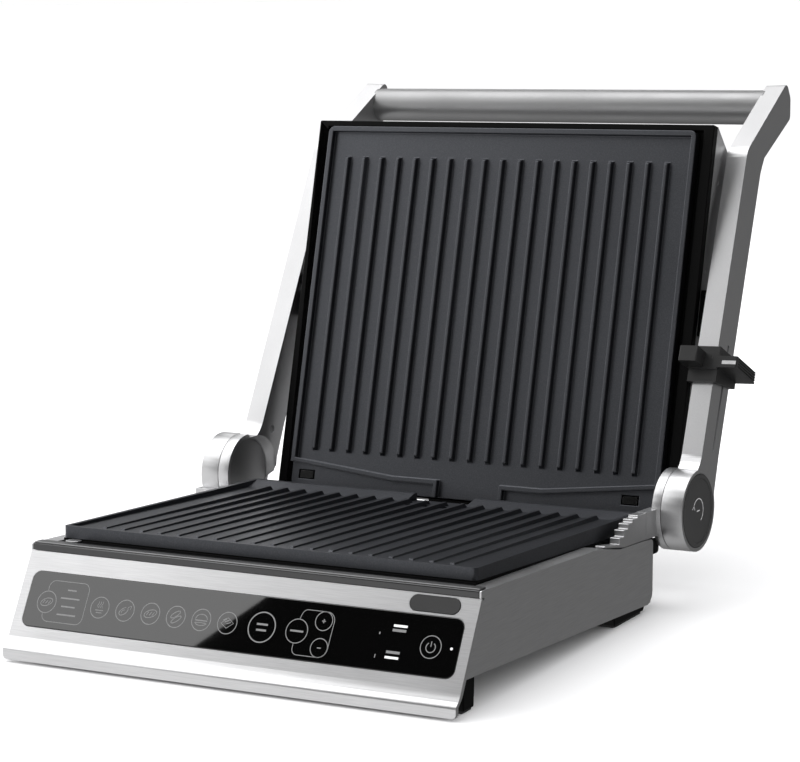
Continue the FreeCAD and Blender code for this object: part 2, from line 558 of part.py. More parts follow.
# ---- lid arms: a straight leaning blade with a kinked tip, fused to its hinge drum
BLADE = [
    ("-9", "4"), ("-11.3", "26.3"), ("-8.9", "31"), ("arm_front", "37"), ("arm_front", "kink_front"),
    ("46", "341.2"), ("56.8", "333.5"), ("62", "319"), ("24.5", "kink_back"),
    ("arm_back", "260"), ("arm_back", "46"), ("23", "20"), ("26", "9"), ("25", "-2"), ("12", "-12"),
]
for word, side in (("left", -1), ("right", 1)):
    blade = pad("blade_" + word, "yz", BLADE, "-arm_t" if side > 0 else "0", "0" if side > 0 else "arm_t")
    blade = soften(
        "blade_soft_" + word, blade, ("16", near("arm_front", "kink_front")),
        ("12", near("arm_front", "37")), ("12", near("-8.9", "31")),
        ("5", near("46", "341.2")), ("7", near("56.8", "333.5")), ("5", near("62", "319")),
        ("8", near("arm_back", "260")))
    depth = ("-groove_d", "1") if side > 0 else ("-1", "groove_d")
    slot = box("groove_" + word, depth, ("groove_v - groove_w / 2", "groove_v + groove_w / 2"),
               ("groove_low", "groove_high"))
    deep = ("-arm_t - 1", "4 - arm_t") if side > 0 else ("arm_t - 4", "arm_t + 1")
    seat = rod("screw_seat_" + word, "x", ("screw_v", "screw_s"), "screw_r + 0.2", *deep)
    blade = moved("blade_placed_" + word, cut("blade_cut_" + word, blade, slot, seat),
                  blade_frame(side))
    if side > 0:
        drum = rod("drum_right", "x", ("0", "0"), "drum_r", "drum_in", "drum_out")
        hollows = [
            rod("button_pocket", "x", ("0", "0"), "button_r + button_gap", "web_x", "200"),
            rod("bush_seat_right", "x", ("0", "0"), "bush_r + 0.02", "170", "190"),
            rod("drum_face_right", "x", ("0", "0"), "drum_r + 0.5", "160", "drum_in"),
        ]
    else:
        drum = rod("drum_left", "x", ("0", "0"), "drum_r", "-left_out", "-left_in")
        hollows = [
            rod("cap_seat", "x", ("0", "0"), "cap_r + 0.2", "-left_in - cap_deep - 0.2", "-170"),
            rod("bush_seat_left", "x", ("0", "0"), "bush_r + 0.02", "-200", "-170"),
            cone("drum_face_left", "cap_r + 0.6", "28.5", "-left_in + 0.02", "-172"),
        ]
    span = [("handle_half - 20", "handle_half + 0.1"), ("handle_half - 20", "handle_half + 6.5"),
            ("150", "pivot_out + 0.1")]
    if side < 0:
        span = [("-(%s)" % b, "-(%s)" % a) for a, b in span]
    bores = [
        rod("tube_seat_" + word, "x", ("handle_v", "handle_s"), "handle_r + 0.05", *span[0]),
        rod("plug_seat_" + word, "x", ("handle_v", "handle_s"), "plug_pin_r + 0.05", *span[1]),
        rod("pivot_seat_" + word, "x", ("pivot_v", "pivot_s"), "pivot_r + 0.02", *span[2]),
    ]
    arm = cut("arm_cut_" + word, fuse("arm_joined_" + word, blade, drum), *hollows, *bores)
    finish("arm_" + word, HINGE, arm)

grip_tube = cut(
    "handle_cut",
    rod("handle_outer", "x", ("handle_v", "handle_s"), "handle_r", "-handle_half", "handle_half"),
    rod("handle_inner", "x", ("handle_v", "handle_s"), "handle_r - handle_wall", "-handle_half - 1",
        "handle_half + 1"),
)
finish("handle_tube", HINGE, grip_tube)
plug = fuse(
    "plug",
    rod("plug_body", "x", ("handle_v", "handle_s"), "handle_r - handle_wall - 0.05",
        "handle_half - plug_deep", "handle_half"),
    rod("plug_pin", "x", ("handle_v", "handle_s"), "plug_pin_r", "handle_half - 1",
        "handle_half + 6.4"),
)
finish("handle_plugs", HINGE, *mirrored("plugs", plug))
finish("hinge_cap_left", HINGE, rod("cap_disc", "x", ("0", "0"), "cap_r", "-left_in - cap_deep",
                                    "-left_in - 0.4"))
bushes = []
for at, (start, end) in enumerate((("drum_in + 0.1", "web_x - 0.1"),
                                   ("-left_out + 0.1", "-left_in - cap_deep - 0.3"))):
    bushes.append(cut(
        "bush_%d" % at,
        rod("bush_body_%d" % at, "x", ("0", "0"), "bush_r", start, end),
        rod("bush_bore_%d" % at, "x", ("0", "0"), "pin_r + play", "-300", "300"),
    ))
finish("hinge_bushes", HINGE, *bushes)
pivot = fuse(
    "pivot_pin",
    rod("pivot_shank", "x", ("pivot_v", "pivot_s"), "pivot_r", "pivot_in", "pivot_out"),
    rod("pivot_head", "x", ("pivot_v", "pivot_s"), "pivot_r + 2.5", "pivot_in", "pivot_in + 2"),
)
finish("pivot_pins", HINGE, *mirrored("pivots", pivot))
arm_screws = [
    moved("arm_screw_" + word, rod("arm_screw_rod_" + word, "x", ("screw_v", "screw_s"), "screw_r", *span),
          blade_frame(side))
    for word, side, span in (("left", -1, ("arm_t - 4", "arm_t - 1.2")),
                             ("right", 1, ("1.2 - arm_t", "4 - arm_t")))
]
finish("arm_screws", HINGE, *arm_screws)
button = rod("button_disc", "x", ("0", "0"), "button_r", "button_in", "button_out")
dome = cut("button_cut", button, rod("button_dish", "x", ("0", "0"), "button_r - 3",
                                     "button_out - 0.5", "button_out + 1"))
finish("release_button", HINGE, dome)

# ---- height clip that rides up and down the right arm
wrap = box("clip_outer", ("-arm_t - clip_gap - clip_wall", "clip_gap + clip_wall"),
           ("arm_front - clip_gap - clip_wall", "arm_back + clip_gap + clip_wall"),
           ("clip_low", "clip_high"))
clip = fuse(
    "clip_joined",
    cut("clip_wrap", wrap,
        pad("clip_bevel", "yz", [("14", "clip_high + 1"), ("14", "clip_high - 1"),
                                 ("arm_back + 4", "109"), ("arm_back + 4", "clip_high + 1")],
            "-30", "30"),
        pad("clip_heel", "yz", [("arm_back + 4", "clip_low - 1"), ("arm_back + 4", "clip_low + 6"),
                                ("-6", "clip_low + 0.2"), ("-6", "clip_low - 1")],
            "-30", "30")),
    slab("clip_tab", ("tab_left", "tab_right"), ("tab_front", "arm_front - clip_gap"),
         ("slab_low", "tab_high"), "1"),
    slab("clip_slab", ("-2", "wing_out"), ("arm_front - 4.2", "wing_back"), ("slab_low", "slab_high"), "1"),
    box("clip_shelf", ("-arm_t - 3.4", "3"), ("arm_front - 4.2", "arm_front - clip_gap"),
        ("slab_low - 1.5", "slab_high - 2")),
)
hollow = box("clip_hollow", ("-arm_t - clip_gap", "clip_gap"),
             ("arm_front - clip_gap", "arm_back + clip_gap"), ("80", "130"))
ridges = [box("clip_ridge_%d" % i, ("wing_out - 0.9", "wing_out + 1"), ("-9", "wing_back + 1"),
              ("slab_low + 1.3 + 1.9 * %d" % i, "slab_low + 2.2 + 1.9 * %d" % i)) for i in range(4)]
seat = box("mark_seat", ("6", "wing_out - 0.6"), ("arm_front - 5", "arm_front - 3.9"),
           ("slab_low + 2.2", "slab_low + 5.1"))
clip = cut("clip_cut", clip, hollow, seat, *ridges)
CLIP = HINGE.multiply(blade_frame(1))
finish("height_clip", CLIP, clip)
mark_y = ("arm_front - 4.3", "arm_front - 3.9")
finish("clip_mark", CLIP, box("mark_bar", ("6.1", "wing_out - 0.7"), mark_y,
                              ("slab_low + 2.3", "slab_low + 5")))

# ---- head: black frame, ribbed plate, steel cover and what lies between them
frame = slab("frame_slab", ("-head_half", "head_half"), ("head_low", "head_top"), ("frame_deep", "0"), "1.2")
tongue = box("frame_tongue", ("-33", "30"), ("-10", "-4"), ("frame_deep", "-0.5"))
frame = cut(
    "frame_cut", fuse("frame_joined", frame, tongue),
    box("frame_window", ("-window_half", "window_half"), ("-4", "window_high"),
        ("shelf", "1")),
    box("frame_opening", ("-opening_half", "opening_half"), ("opening_low", "opening_high"),
        ("-10", "1")),
)
finish("head_frame", HEAD, frame)
upper = slab("upper_slab", ("-upper_half", "upper_half"), ("upper_low", "upper_high"),
             ("shelf", "upper_rim"), "5")
cavity = pad("upper_cavity", "xy", [
    ("upper_rim_w - upper_half", "upper_high - upper_rim_w"),
    ("upper_rim_w - upper_half", "17"), ("-63", "9"), ("notch_left - 1.5", "9"),
    ("notch_left - 1.5", "upper_low - 2"), ("notch_right + 1.5", "upper_low - 2"),
    ("notch_right + 1.5", "9"), ("61", "9"), ("upper_half - upper_rim_w", "18.5"),
    ("upper_half - upper_rim_w", "upper_high - upper_rim_w")], "upper_floor", "10")
apron_left = pad("apron_left", "xy", [
    ("-170", "12"), ("-149", "14"), ("-64", "5.4"), ("-27.8", "5.4"), ("-27.8", "-10"),
    ("-170", "-10")], "apron", "10")
apron_right = pad("apron_right", "xy", [
    ("170", "13.5"), ("147", "15"), ("60", "5.4"), ("29.3", "5.4"), ("29.3", "-10"),
    ("170", "-10")], "apron", "10")
latch_holes = [
    box("latch_hole_left", ("-146", "-132.6"), ("1.6", "8.4"), ("-8", "5")),
    box("latch_hole_right", ("122.6", "136"), ("2.9", "9.7"), ("-8", "5")),
]
upper = cut("upper_cut", upper, cavity, apron_left, apron_right, *latch_holes)
finish("upper_plate", HEAD, fuse("upper_joined", upper, *ribs(
    "upper_rib", "upper_rib_top", "-2", "upper_rib_low", "upper_rib_high", "-1.5")))
finish("upper_latches", HEAD,
       box("upper_latch_left", ("-145", "-133.6"), ("2.2", "7.8"), ("shelf", "0.4")),
       box("upper_latch_right", ("123.6", "135"), ("3.5", "9.1"), ("shelf", "0.4")))
finish("upper_heater", HEAD, tube("upper_loop", [
    (-12, 40, "upper_heater_z"), (-112, 40, "upper_heater_z"), (-112, 228, "upper_heater_z"),
    (112, 228, "upper_heater_z"), (112, 40, "upper_heater_z"), (12, 40, "upper_heater_z")],
    "heater_r", "heater_bend"))
finish("upper_reflector", HEAD, box("upper_sheet", ("-150", "150"), ("12", "256"),
                                    ("upper_reflector_z - reflector_t", "upper_reflector_z")))
finish("upper_sensor", HEAD, rod("upper_probe", "z", ("0", "134"), "3.5", "upper_reflector_z", "shelf"))
skin_out = pad("cover_outer", "yz", [
    ("head_low", "frame_deep"), ("head_low", "-28"), ("8", "head_deep"), ("252", "head_deep"),
    ("264", "-28"), ("head_top", "frame_deep")], "-head_half", "head_half")
skin_out = soften("cover_soft", skin_out, ("10", near("8", "head_deep")), ("3", near("head_low", "-28")),
                  ("10", near("252", "head_deep")), ("6", near("264", "-28")))
skin_in = pad("cover_inner", "yz", [
    ("head_low + cover_skin", "frame_deep + 1"), ("head_low + cover_skin", "-27.5"),
    ("8.5", "head_deep + cover_skin"), ("251.4", "head_deep + cover_skin"), ("262.6", "-27.4"),
    ("head_top - 1.7", "frame_deep + 1")], "cover_skin - head_half", "head_half - cover_skin")
skin_in = soften("cover_in_soft", skin_in, ("8.6", near("8.5", "head_deep + cover_skin")),
                 ("8.6", near("251.4", "head_deep + cover_skin")))
side_holes = []
COVER_FIXINGS = (("239", "-16"), ("174", "-9.5"))
for at, (t, w) in enumerate(COVER_FIXINGS + (("pivot_t", "pivot_w"),)):
    r = "5" if t == "pivot_t" else "1.65"
    side_holes.append(rod("cover_hole_%d" % at, "x", (t, w), r, "-200", "200"))
finish("head_cover", HEAD, cut("cover_cut", skin_out, skin_in, *side_holes))
block = box("pivot_plate", ("head_half", "block_out"), ("127", "160"), ("-22", "-7"))
block = cut("pivot_block", block, rod("block_bore", "x", ("pivot_t", "pivot_w"), "pivot_r + play",
                                      "150", "180"))
finish("pivot_blocks", HEAD, *mirrored("blocks", block))
cover_screws = []
for at, (t, w) in enumerate(COVER_FIXINGS):
    screw = rod("cover_screw_%d" % at, "x", (t, w), "1.6", "head_half - 6", "head_half - 0.3")
    cover_screws.extend(mirrored("cover_screws_%d" % at, screw))
finish("cover_screws", HEAD, *cover_screws)

doc.recompute()
for thing in doc.Objects:
    wrong = {"Invalid", "Error"}.intersection(thing.State)
    if wrong:
        raise RuntimeError("%s is %s" % (thing.Name, wrong))
for thing in finished:
    shape = thing.Shape
    if shape.isNull() or not shape.isValid() or not shape.Solids:
        raise RuntimeError("%s has no valid solid" % thing.Label)
    shape.exportStep("parts/%s.step" % thing.Label)
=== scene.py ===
import json
import math

import bpy
import bmesh
from mathutils import Matrix, Vector


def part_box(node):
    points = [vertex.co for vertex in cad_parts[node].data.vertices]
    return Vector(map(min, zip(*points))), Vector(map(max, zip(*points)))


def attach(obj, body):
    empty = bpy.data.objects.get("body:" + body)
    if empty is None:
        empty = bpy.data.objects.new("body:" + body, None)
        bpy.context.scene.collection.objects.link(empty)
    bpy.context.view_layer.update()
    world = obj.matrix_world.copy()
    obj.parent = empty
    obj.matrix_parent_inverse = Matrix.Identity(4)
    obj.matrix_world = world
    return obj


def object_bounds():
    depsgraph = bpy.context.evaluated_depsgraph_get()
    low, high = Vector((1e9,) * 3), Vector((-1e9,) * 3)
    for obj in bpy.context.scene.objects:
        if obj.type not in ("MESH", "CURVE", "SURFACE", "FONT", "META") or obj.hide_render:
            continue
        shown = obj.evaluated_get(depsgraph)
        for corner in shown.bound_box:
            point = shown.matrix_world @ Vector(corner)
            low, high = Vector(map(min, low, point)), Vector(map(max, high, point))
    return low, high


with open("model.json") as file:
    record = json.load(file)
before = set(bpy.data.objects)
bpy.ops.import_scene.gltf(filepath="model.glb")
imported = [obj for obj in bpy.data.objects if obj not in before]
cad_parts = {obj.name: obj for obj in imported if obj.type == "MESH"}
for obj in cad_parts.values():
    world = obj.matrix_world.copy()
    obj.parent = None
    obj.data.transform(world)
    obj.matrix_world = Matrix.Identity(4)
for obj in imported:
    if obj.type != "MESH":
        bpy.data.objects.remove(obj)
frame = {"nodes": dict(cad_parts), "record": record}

MM = 0.001
CAD_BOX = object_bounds()
RECORD = frame["record"]
JOINTS = {j["name"]: j for j in RECORD["behaviour"]["joints"]}
LEVEL = Vector(JOINTS["drip_tray"]["axis"])      # backwards along the leaning base
HINGE = Vector(JOINTS["lid_hinge"]["pos_m"])
GLASS_OUT = Vector((0, -0.9, 0.44))              # roughly the way the touch glass faces


# ---------------------------------------------------------------- materials
def new_material(name, colour, metallic=0.0, roughness=0.5, **sockets):
    """A principled material; plain numbers are set on the shader's own sockets."""
    material = bpy.data.materials.new(name)
    material.use_nodes = True
    shader = shader_of(material)
    shader.inputs["Base Color"].default_value = (*colour, 1)
    shader.inputs["Metallic"].default_value = metallic
    shader.inputs["Roughness"].default_value = roughness
    for socket, value in sockets.items():
        shader.inputs[socket.replace("_", " ")].default_value = value
    return material


def add_node(material, kind, **settings):
    """A new node; each setting goes to the input of that name, or else to the node itself."""
    node = material.node_tree.nodes.new(kind)
    for key, value in settings.items():
        if key in node.inputs:
            node.inputs[key].default_value = value
        else:
            setattr(node, key, value)
    return node


def link(material, source, target):
    """Join an output to an input."""
    material.node_tree.links.new(source, target)


def noise(material, scale, stretch=(1, 1, 1), detail=4.0, rough=0.55):
    """A noise texture in the object's own space; stretch below 1 draws it out along that axis."""
    place = add_node(material, "ShaderNodeTexCoord")
    mapping = add_node(material, "ShaderNodeMapping")
    mapping.inputs["Scale"].default_value = stretch
    texture = add_node(material, "ShaderNodeTexNoise", Scale=scale, Detail=detail, Roughness=rough)
    link(material, place.outputs["Object"], mapping.inputs["Vector"])
    link(material, mapping.outputs["Vector"], texture.inputs["Vector"])
    return texture.outputs["Fac"]


def ramp(material, value, low, high, start, end):
    """Map a 0..1 value to a range."""
    node = add_node(material, "ShaderNodeMapRange")
    node.inputs["From Min"].default_value = low
    node.inputs["From Max"].default_value = high
    node.inputs["To Min"].default_value = start
    node.inputs["To Max"].default_value = end
    link(material, value, node.inputs["Value"])
    return node.outputs["Result"]


def tint(material, value, dark, light, low=0.3, high=0.7):
    """Colour between two tones by a 0..1 value."""
    node = add_node(material, "ShaderNodeMix", data_type="RGBA")
    node.inputs["A"].default_value = (*dark, 1)
    node.inputs["B"].default_value = (*light, 1)
    link(material, ramp(material, value, low, high, 0, 1), node.inputs["Factor"])
    return node.outputs["Result"]


def shader_of(material):
    """The material's principled shader."""
    return material.node_tree.nodes["Principled BSDF"]


def set_colour(material, value, dark, light, low=0.3, high=0.7):
    """Let a 0..1 value move the base colour between two tones."""
    link(material, tint(material, value, dark, light, low, high),
         shader_of(material).inputs["Base Color"])


def set_roughness(material, value, start, end):
    """Let a 0..1 value move the roughness between two numbers."""
    link(material, ramp(material, value, 0.3, 0.7, start, end),
         shader_of(material).inputs["Roughness"])


def set_bump(material, *layers):
    """Stack bump layers, each a height value, a strength and a depth in metres."""
    previous = None
    for value, strength, depth in layers:
        bump = add_node(material, "ShaderNodeBump", Strength=strength, Distance=depth)
        link(material, value, bump.inputs["Height"])
        if previous:
            link(material, previous, bump.inputs["Normal"])
        previous = bump.outputs["Normal"]
    link(material, previous, shader_of(material).inputs["Normal"])


def grey(value):
    """A neutral grey, a trace cool."""
    return (value, value, value * 1.01)


def brushed(name, tone, roughness, along=(0.02, 1, 1)):
    """Brushed steel with its grain drawn out along one axis."""
    material = new_material(name, grey(tone), metallic=1.0, roughness=roughness)
    grain = noise(material, 2600, along, detail=3)
    cloud = noise(material, 9, detail=2)
    set_colour(material, grain, grey(tone * 0.9), grey(min(1, tone * 1.07)), 0.25, 0.75)
    set_roughness(material, cloud, roughness * 0.85, roughness * 1.2)
    set_bump(material, (grain, 0.25, 0.00002))
    return material


def turned_metal(name, tone, roughness, centre):
    """Metal turned in a lathe about an axis along X: fine rings round the centre."""
    material = new_material(name, grey(tone), metallic=1.0, roughness=roughness)
    place = add_node(material, "ShaderNodeTexCoord")
    shift = add_node(material, "ShaderNodeMapping")
    shift.inputs["Location"].default_value = (0, -centre.y, -centre.z)
    shift.inputs["Scale"].default_value = (0, 1, 1)
    rings = add_node(material, "ShaderNodeTexWave", wave_type="RINGS", rings_direction="SPHERICAL",
                     Scale=260, Distortion=0.6, Detail=2)
    link(material, place.outputs["Object"], shift.inputs["Vector"])
    link(material, shift.outputs["Vector"], rings.inputs["Vector"])
    set_colour(material, rings.outputs["Fac"], grey(tone * 0.88), grey(tone * 1.08))
    set_roughness(material, noise(material, 30, detail=3), roughness * 0.85, roughness * 1.15)
    set_bump(material, (rings.outputs["Fac"], 0.2, 0.00002))
    return material


def satin_paint(name, tone, roughness):
    """Metallic paint on a casting: fine flake, faint orange peel."""
    material = new_material(name, grey(tone), metallic=1.0, roughness=roughness)
    flake = noise(material, 5200, detail=2)
    peel = noise(material, 520, detail=2)
    set_colour(material, flake, grey(tone * 0.88), grey(min(1, tone * 1.1)), 0.3, 0.7)
    set_roughness(material, noise(material, 24, detail=3), roughness * 0.9, roughness * 1.15)
    set_bump(material, (peel, 0.12, 0.00003), (flake, 0.08, 0.00001))
    return material


def moulded(name, tone, roughness=0.5, texture=1500, strength=0.3, **sockets):
    """Moulded plastic with a fine spark-eroded texture and slightly uneven sheen."""
    material = new_material(name, grey(tone), roughness=roughness, **sockets)
    fine = noise(material, texture, detail=3)
    cloud = noise(material, 14, detail=3)
    set_colour(material, cloud, grey(tone * 0.85), grey(tone * 1.2))
    set_roughness(material, cloud, roughness * 0.88, roughness * 1.1)
    set_bump(material, (fine, strength, 0.00003))
    return material


def nonstick(name):
    """Non-stick coating on cast aluminium: dark, with a metallic sheen and a fine grain."""
    material = new_material(name, grey(0.1), metallic=1.0, roughness=0.42)
    grain = noise(material, 2400, detail=4, rough=0.7)
    speck = noise(material, 1500, detail=1)
    cloud = noise(material, 11, detail=3)
    set_colour(material, speck, (0.106, 0.110, 0.121), (0.142, 0.146, 0.159), 0.4, 0.8)
    set_roughness(material, cloud, 0.38, 0.46)
    set_bump(material, (grain, 0.25, 0.00003), (noise(material, 260, detail=2), 0.12, 0.0001))
    return material


def gloss(name, tone, roughness, **sockets):
    """Polished glass or lacquer with faint wipe marks in its sheen."""
    material = new_material(name, grey(tone), roughness=roughness, **sockets)
    smear = noise(material, 30, (0.3, 1, 1), detail=5)
    set_roughness(material, smear, roughness * 0.7, roughness * 1.6)
    set_colour(material, noise(material, 5, detail=2), grey(tone * 0.8), grey(tone * 1.2))
    set_bump(material, (noise(material, 40, detail=1), 0.02, 0.00002))
    return material


def oxidised(name, colour):
    """Bright metal dulled unevenly by heat."""
    material = new_material(name, colour, metallic=1.0, roughness=0.4)
    cloud = noise(material, 45, detail=5)
    set_colour(material, cloud, tuple(c * 0.6 for c in colour), colour)
    set_roughness(material, cloud, 0.3, 0.55)
    set_bump(material, (noise(material, 800, detail=3), 0.15, 0.00003))
    return material


def circuit(name):
    """Green board lacquer over woven glass."""
    material = new_material(name, (0.01, 0.09, 0.03), roughness=0.35)
    weave = noise(material, 300, detail=2)
    set_colour(material, weave, (0.008, 0.06, 0.02), (0.02, 0.12, 0.045))
    set_bump(material, (weave, 0.2, 0.00005))
    return material


def printed(name, tone):
    """Matt printing ink."""
    material = new_material(name, grey(tone), roughness=0.5)
    set_colour(material, noise(material, 400, detail=2), grey(tone * 0.85), grey(tone))
    return material


# One finish for each material slot of the record
FINISHES = {
    "brushed_steel": brushed("fascia_steel", 0.86, 0.34),
    "satin_silver": satin_paint("silver_casting", 0.80, 0.38),
    "bright_strip": brushed("strip_steel", 0.35, 0.35),
    "gloss_black": gloss("gloss_black", 0.006, 0.16),
    "touch_glass": gloss("panel_glass", 0.0002, 0.018, IOR=1.62, Specular_IOR_Level=1.0),
    "badge_grey": moulded("badge_paint", 0.026, 0.5, 2400, 0.2),
    "nonstick": nonstick("nonstick_coating"),
    "black_plastic": moulded("black_moulding", 0.001, 0.5, Specular_IOR_Level=0.12),
    "clip_black": moulded("clip_moulding", 0.013, 0.36),
    "button_grey": moulded("button_moulding", 0.028, 0.45, 2200, 0.2),
    "handle_metal": satin_paint("handle_paint", 0.40, 0.42),
    "zinc_steel": brushed("zinc_steel", 0.6, 0.4, (1, 1, 1)),
    "heater_tube": oxidised("heater_steel", (0.3, 0.27, 0.24)),
    "reflector": brushed("reflector_sheet", 0.85, 0.22),
    "circuit": circuit("board_green"),
    "pan_plastic": moulded("pan_moulding", 0.008, 0.5, 700, 0.4),
    "rubber": moulded("foot_rubber", 0.02, 0.75, 900, 0.5),
    "brass": oxidised("bush_brass", (0.75, 0.55, 0.25)),
    "mark_white": printed("pale_print", 0.40),
    "led_white": printed("led_lens", 0.8),
    "tray_black": moulded("tray_coating", 0.02, 0.35, 900, 0.3),
}
# Finishes of single nodes that differ from the rest of their slot, and the inks
SIDE_STEEL = brushed("side_steel", 0.85, 0.36, (1, 0.02, 1))
# Darker copy of the brushed steel for the head cover: painted shade for a cover that stands in
# shadow, not a different finish
SHADED_COVER_STEEL = brushed("cover_steel_painted_shade", 0.60, 0.38)
TRIM_LACQUER = satin_paint("trim_lacquer", 0.11, 0.22)
DISC_METAL = turned_metal("disc_metal", 0.62, 0.4, HINGE)
PANEL_INK = printed("panel_ink", 0.2)
# Pale paint for the lit bars and dot of the readouts: painted light in place of the display's glow
GLOW_PAINT = printed("painted_glow", 0.85)


def paint(node, material):
    """Give a CAD node one material."""
    mesh = frame["nodes"][node].data
    mesh.materials.clear()
    mesh.materials.append(material)


for part in RECORD["subparts"]:
    paint(part["node"], FINISHES[part["material_slot"]])
for node in ("side_shell", "back_panel"):
    paint(node, SIDE_STEEL)
# The head cover gets the darker copy of the steel, with its shade painted in
paint("head_cover", SHADED_COVER_STEEL)
paint("top_trim", TRIM_LACQUER)
paint("hinge_cap_left", DISC_METAL)


# ---------------------------------------------------------------- softened edges
WELD_GAP = 0.002 * MM
FLAT_ANGLE = math.radians(0.6)          # faces closer than this are joined before the rounding
SHARP_ANGLE = math.radians(28)          # edges sharper than this are rounded
ROUND_STEPS = 3


def soften(node, width):
    """Round the sharp edges of a CAD node by a width in millimetres; its mesh stays as it is."""
    thing = frame["nodes"][node]
    weld = thing.modifiers.new("weld", "WELD")
    weld.merge_threshold = WELD_GAP
    planar = thing.modifiers.new("planar", "DECIMATE")
    planar.decimate_type = "DISSOLVE"
    planar.angle_limit = FLAT_ANGLE
    bevel = thing.modifiers.new("bevel", "BEVEL")
    bevel.width = width * MM
    bevel.segments = ROUND_STEPS
    bevel.limit_method = "ANGLE"
    bevel.angle_limit = SHARP_ANGLE
    bevel.harden_normals = True
    bevel.use_clamp_overlap = True


# Nodes by the width of their rounding, in millimetres
EDGES = {
    0.35: ["touch_glass", "badge_plate", "trim_rim", "hinge_cap_left", "clip_mark",
           "upper_latches"],
    0.5: ["side_shell", "back_panel", "top_trim", "plate_deck", "tray_pull", "drip_tray",
          "lower_latch"],
    0.7: ["step_rack", "height_clip", "head_frame", "release_button", "pivot_blocks"],
    0.9: ["lower_plate", "upper_plate", "fascia", "head_cover", "hinge_boss_right",
          "hinge_boss_left", "front_legs", "rear_feet", "rear_housing"],
    1.6: ["arm_left", "arm_right"],
}
for width, nodes in EDGES.items():
    for node in nodes:
        soften(node, width)


# ---------------------------------------------------------------- printed marks
class Face:
    """A flat face of a CAD node, with millimetre coordinates: across to the right, and down."""

    def __init__(self, node, outward):
        mesh = frame["nodes"][node].data
        flat = max((p for p in mesh.polygons if p.normal.dot(outward) > 0.9), key=lambda p: p.area)
        self.normal = flat.normal.copy()
        self.across = Vector((0, 0, 1)).cross(self.normal).normalized()
        self.up = self.normal.cross(self.across)
        points = [v.co for v in mesh.vertices]
        level = mesh.vertices[flat.vertices[0]].co.dot(self.normal)
        low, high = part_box(node)
        middle = (Vector(low) + Vector(high)) / 2
        top = max(p.dot(self.up) for p in points)
        self.origin = (self.normal * level + self.up * top
                       + self.across * middle.dot(self.across))

    def at(self, x, down, above=0.0):
        """The place in the scene of a point on the face, or that far above it."""
        return self.origin + (self.across * x - self.up * down + self.normal * above) * MM


def arc(x, down, radius, start=0.0, sweep=360.0, flatten=1.0, turn=0.0):
    """Points along an ellipse or part of one; angles in degrees, anticlockwise from the right."""
    count = max(4, int(abs(sweep) / 9))
    steps = count if abs(sweep) >= 360 else count + 1
    points = []
    for i in range(steps):
        a = math.radians(start + sweep * i / count)
        u, v = radius * math.cos(a), radius * flatten * math.sin(a)
        b = math.radians(turn)
        points.append((x + u * math.cos(b) - v * math.sin(b),
                       down - u * math.sin(b) - v * math.cos(b)))
    return points


class Print:
    """Thin raised ribbons of paint on one face, gathered in one mesh."""

    PROUD, SUNK = 0.04, -0.03           # top and underside of a ribbon above the face, in mm

    def __init__(self, name, face, body, material, slot):
        self.name, self.face, self.body = name, face, body
        self.material, self.slot = material, slot
        self.mesh = bmesh.new()

    def stroke(self, points, width=0.5, closed=False):
        """A closed ribbon along a line of points."""
        count = len(points)
        rows = []
        for i, here in enumerate(points):
            before = points[i - 1] if i or closed else here
            after = points[(i + 1) % count] if i + 1 < count or closed else here
            along = Vector((after[0] - before[0], after[1] - before[1])).normalized()
            side = Vector((-along.y, along.x)) * width / 2
            corners = [(here[0] + side.x, here[1] + side.y), (here[0] - side.x, here[1] - side.y)]
            heights = (self.PROUD, self.PROUD, self.SUNK, self.SUNK)
            rows.append([self.mesh.verts.new(self.face.at(x, down, above))
                         for (x, down), above in zip(corners + corners[::-1], heights)])
        for a, b in zip(rows, rows[1:] + (rows[:1] if closed else [])):
            for k in range(4):
                self.mesh.faces.new((a[k], a[(k + 1) % 4], b[(k + 1) % 4], b[k]))
        if not closed:
            self.mesh.faces.new(rows[0][::-1])
            self.mesh.faces.new(rows[-1])

    def ring(self, x, down, radius, width=0.55):
        """A round outline."""
        self.stroke(arc(x, down, radius), width, closed=True)

    def bar(self, x, down, length, thick):
        """A level bar about its middle."""
        self.stroke([(x - length / 2, down), (x + length / 2, down)], thick)

    def done(self):
        """Make the piece of all the ribbons drawn so far and let it ride on its body."""
        bmesh.ops.recalc_face_normals(self.mesh, faces=self.mesh.faces)
        data = bpy.data.meshes.new(self.name)
        self.mesh.to_mesh(data)
        self.mesh.free()
        data.materials.append(self.material)
        piece = bpy.data.objects.new(self.name, data)
        bpy.context.collection.objects.link(piece)
        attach(piece, self.body)


# The touch panel, in millimetres across from the middle of the glass and down from its top edge
ROW = 20.0                                       # the row of round keys
KEY_R = 7.1
FOOD_KEYS = (-103.5, -83.5, -63.5, -43.7, -24.1, -4.3)
DONENESS_KEY = (-146.4, ROW + 0.4)
SETTINGS = {"left": -147.5, "right": -115, "top": 5.4, "bottom": 33.4, "bend": 5}
SETTING_BARS = (7, 15, 11, 15)                   # lengths of the four bars, from the top
START_KEY = (21.6, ROW)
MANUAL_KEY = (47.4, ROW - 0.3)
MORE_KEY = (65.2, 11.4)
LESS_KEY = (66.0, 28.7)
STEP_KEY_R = 6.1
POWER_KEY_X = 143.1


def steam(ink, x, down):
    """Heat waves over a stack of lines."""
    for shift in (-1.6, 0, 1.6):
        wave = [(x + shift + 0.5 * math.sin(i * 1.3), down - 4 + i * 0.7) for i in range(7)]
        ink.stroke(wave, 0.4)
    ink.bar(x, down + 1.8, 6, 0.55)
    ink.bar(x, down + 3.4, 4.6, 0.55)


def fillet(ink, x, down):
    """A long fillet with a tail."""
    ink.stroke(arc(x - 1, down + 0.6, 3.6, 40, 330, 0.55, 35), 0.5)
    ink.stroke([(x + 1.8, down - 2.2), (x + 4.4, down - 3.6), (x + 3.9, down - 0.9)], 0.5)
    ink.stroke(arc(x - 1, down + 0.8, 1.7, 30, 150, 0.6, 35), 0.4)


